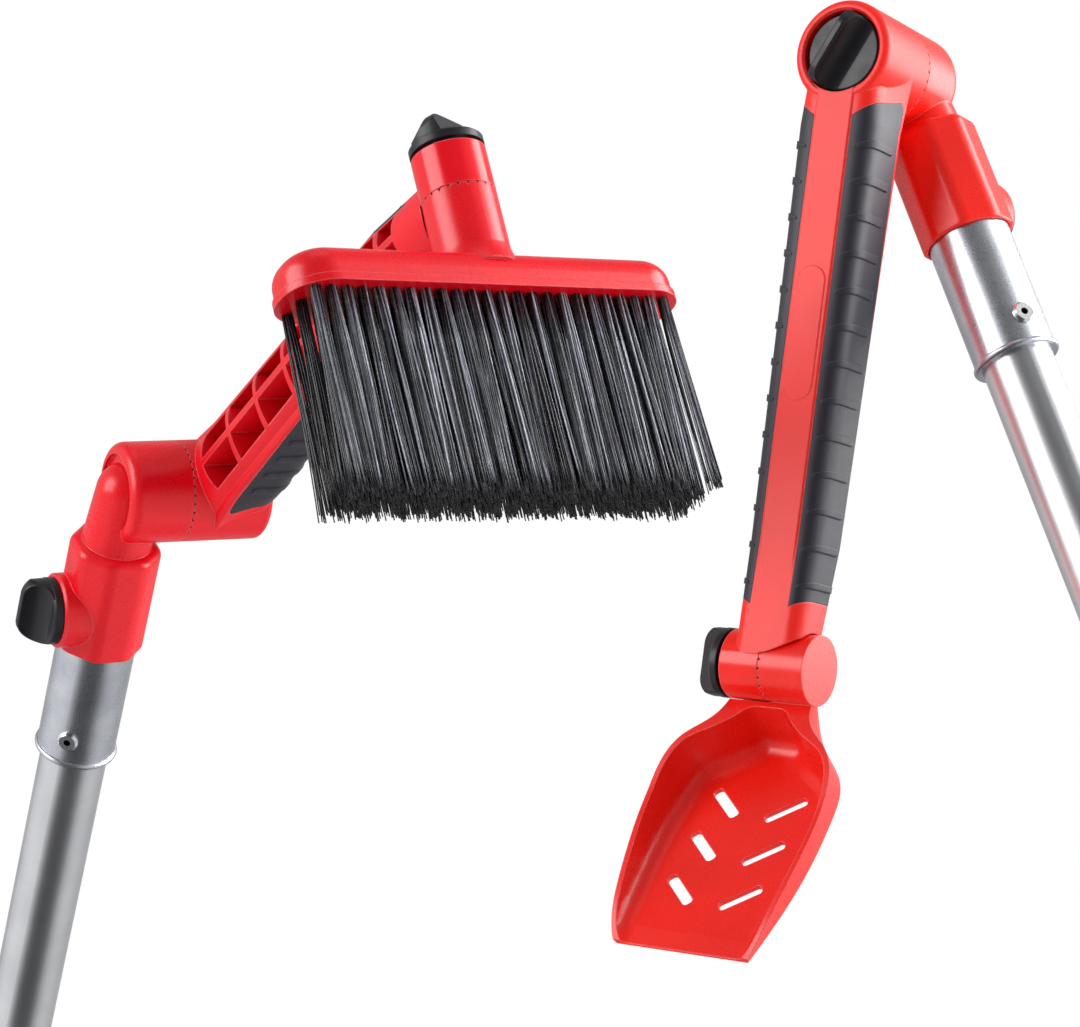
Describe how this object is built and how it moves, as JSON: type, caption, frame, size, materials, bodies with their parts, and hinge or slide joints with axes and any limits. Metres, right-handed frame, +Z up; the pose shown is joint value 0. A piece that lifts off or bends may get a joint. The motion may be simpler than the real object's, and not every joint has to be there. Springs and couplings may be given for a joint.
{
  "type": "snow brush scraper",
  "caption": "Set of long-handled snow tools on poles: a brush and a slotted scoop, each on a ribbed arm with serrated, knob-locked shoulder and wrist joints.",
  "frame": {"origin": "on the brush tool's pole axis, at the middle of its rubber grip", "axes": "+X to the picture's right, +Y away from the camera, +Z up, as the tools stand in the picture"},
  "size_m": [0.7155, 0.7065, 0.8383],
  "materials": {
    "red_plastic": "fine-grained moulded plastic, semi-matt",
    "black_rubber": "matt",
    "black_gloss": "glossy",
    "black_plastic": "satin",
    "bristle_fibre": "satin filament",
    "aluminium_tube": "satin anodised",
    "zinc_ferrule": "bright zinc plate",
    "rivet_metal": "bright",
    "brass_insert": "turned",
    "steel_hardware": "zinc plated"
  },
  "bodies": {
    "brush_pole": {"brush_pole_tube": "aluminium_tube", "brush_pole_ferrule": "zinc_ferrule", "brush_ferrule_rivets": "rivet_metal", "brush_pole_grip": "black_rubber", "brush_pole_end_cap": "black_plastic"},
    "brush_socket": {"brush_socket_elbow": "red_plastic", "brush_clamp_insert": "brass_insert", "brush_shoulder_bolt": "steel_hardware"},
    "brush_clamp_foot": {"brush_clamp_pad": "steel_hardware"},
    "brush_clamp_screw": {"brush_clamp_knob": "black_gloss"},
    "brush_arm": {"brush_arm_core": "red_plastic", "brush_arm_grip_left": "black_rubber", "brush_arm_grip_right": "black_rubber"},
    "brush_shoulder_ring": {"brush_shoulder_washer": "steel_hardware"},
    "brush_shoulder_nut": {"brush_shoulder_knob": "black_gloss"},
    "brush_wrist_ring": {"brush_wrist_washer": "steel_hardware"},
    "brush_wrist_nut": {"brush_wrist_knob": "black_gloss"},
    "brush_head": {"brush_wrist_bolt": "steel_hardware", "brush_block": "red_plastic", "brush_bristles": "bristle_fibre"},
    "scoop_pole": {"scoop_pole_tube": "aluminium_tube", "scoop_pole_ferrule": "zinc_ferrule", "scoop_ferrule_rivets": "rivet_metal", "scoop_pole_grip": "black_rubber", "scoop_pole_end_cap": "black_plastic"},
    "scoop_socket": {"scoop_socket_elbow": "red_plastic", "scoop_clamp_insert": "brass_insert", "scoop_shoulder_bolt": "steel_hardware"},
    "scoop_clamp_foot": {"scoop_clamp_pad": "steel_hardware"},
    "scoop_clamp_screw": {"scoop_clamp_knob": "black_gloss"},
    "scoop_arm": {"scoop_arm_core": "red_plastic", "scoop_arm_grip_left": "black_rubber", "scoop_arm_grip_right": "black_rubber"},
    "scoop_shoulder_ring": {"scoop_shoulder_washer": "steel_hardware"},
    "scoop_shoulder_nut": {"scoop_shoulder_knob": "black_gloss"},
    "scoop_wrist_ring": {"scoop_wrist_washer": "steel_hardware"},
    "scoop_wrist_nut": {"scoop_wrist_knob": "black_gloss"},
    "scoop_head": {"scoop_wrist_bolt": "steel_hardware", "scoop_blade": "red_plastic"}
  },
  "joints": [
    {"name": "brush_pole_swivel", "type": "hinge", "parent": "brush_pole", "child": "brush_socket", "pos_m": [0.14797, -0.32389, 0.54019], "axis": [0.2287, -0.5006, 0.8349], "range_deg": [-90, 20]},
    {"name": "brush_shoulder", "type": "hinge", "parent": "brush_socket", "child": "brush_arm", "pos_m": [0.16537, -0.3147, 0.54094], "axis": [-0.8834, -0.4671, -0.0381], "range_deg": [-40, 120]},
    {"name": "brush_wrist", "type": "hinge", "parent": "brush_arm", "child": "brush_head", "pos_m": [0.27041, -0.47834, 0.63009], "axis": [-0.2247, 0.351, 0.909], "range_deg": [-90, 90]},
    {"name": "brush_clamp_travel", "type": "slide", "parent": "brush_socket", "child": "brush_clamp_foot", "axis": [-0.8834, -0.4671, -0.0381], "range_m": [0, 0.0025]},
    {"name": "brush_clamp_turn", "type": "hinge", "parent": "brush_clamp_foot", "child": "brush_clamp_screw", "pos_m": [0.13654, -0.29886, 0.49844], "axis": [-0.8834, -0.4671, -0.0381], "range_deg": [0, 720]},
    {"name": "brush_shoulder_knob_travel", "type": "slide", "parent": "brush_arm", "child": "brush_shoulder_ring", "axis": [0.8834, 0.4671, 0.0381], "range_m": [0, 0.0025]},
    {"name": "brush_shoulder_knob_turn", "type": "hinge", "parent": "brush_shoulder_ring", "child": "brush_shoulder_nut", "pos_m": [0.16537, -0.3147, 0.54094], "axis": [0.8834, 0.4671, 0.0381], "range_deg": [0, 720]},
    {"name": "brush_wrist_knob_travel", "type": "slide", "parent": "brush_arm", "child": "brush_wrist_ring", "axis": [-0.2247, 0.351, 0.909], "range_m": [0, 0.002]},
    {"name": "brush_wrist_knob_turn", "type": "hinge", "parent": "brush_wrist_ring", "child": "brush_wrist_nut", "pos_m": [0.27041, -0.47834, 0.63009], "axis": [-0.2247, 0.351, 0.909], "range_deg": [0, 720]},
    {"name": "scoop_pole_swivel", "type": "hinge", "parent": "scoop_pole", "child": "scoop_socket", "pos_m": [0.42657, -0.3286, 0.68455], "axis": [-0.295, 0.3623, 0.8841], "range_deg": [-90, 90]},
    {"name": "scoop_shoulder", "type": "hinge", "parent": "scoop_socket", "child": "scoop_arm", "pos_m": [0.41575, -0.34468, 0.68753], "axis": [0.5518, 0.82, -0.1519], "range_deg": [-9, 170]},
    {"name": "scoop_wrist", "type": "hinge", "parent": "scoop_arm", "child": "scoop_head", "pos_m": [0.37666, -0.38095, 0.48036], "axis": [-0.8234, 0.5646, 0.0567], "range_deg": [-65, 80]},
    {"name": "scoop_clamp_travel", "type": "slide", "parent": "scoop_socket", "child": "scoop_clamp_foot", "axis": [0.5518, 0.82, -0.1519], "range_m": [0, 0.0025]},
    {"name": "scoop_clamp_turn", "type": "hinge", "parent": "scoop_clamp_foot", "child": "scoop_clamp_screw", "pos_m": [0.44132, -0.34672, 0.64035], "axis": [0.5518, 0.82, -0.1519], "range_deg": [0, 720]},
    {"name": "scoop_shoulder_knob_travel", "type": "slide", "parent": "scoop_arm", "child": "scoop_shoulder_ring", "axis": [-0.5518, -0.82, 0.1519], "range_m": [0, 0.0025]},
    {"name": "scoop_shoulder_knob_turn", "type": "hinge", "parent": "scoop_shoulder_ring", "child": "scoop_shoulder_nut", "pos_m": [0.41575, -0.34468, 0.68753], "axis": [-0.5518, -0.82, 0.1519], "range_deg": [0, 720]},
    {"name": "scoop_wrist_knob_travel", "type": "slide", "parent": "scoop_arm", "child": "scoop_wrist_ring", "axis": [-0.8234, 0.5646, 0.0567], "range_m": [0, 0.002]},
    {"name": "scoop_wrist_knob_turn", "type": "hinge", "parent": "scoop_wrist_ring", "child": "scoop_wrist_nut", "pos_m": [0.37666, -0.38095, 0.48036], "axis": [-0.8234, 0.5646, 0.0567], "range_deg": [0, 720]},
    {"name": "scoop_tool_apart", "type": "slide", "parent": "brush_pole", "child": "scoop_pole", "axis": [1, 0, 0], "range_m": [0, 0.3]}
  ],
  "couplings": [
    {"joint": "brush_clamp_turn", "follows": "brush_clamp_travel", "rad_per_m": 5026.5},
    {"joint": "brush_shoulder_knob_turn", "follows": "brush_shoulder_knob_travel", "rad_per_m": 5026.5},
    {"joint": "brush_wrist_knob_turn", "follows": "brush_wrist_knob_travel", "rad_per_m": 6283.2},
    {"joint": "scoop_clamp_turn", "follows": "scoop_clamp_travel", "rad_per_m": 5026.5},
    {"joint": "scoop_shoulder_knob_turn", "follows": "scoop_shoulder_knob_travel", "rad_per_m": 5026.5},
    {"joint": "scoop_wrist_knob_turn", "follows": "scoop_wrist_knob_travel", "rad_per_m": 6283.2}
  ]
}
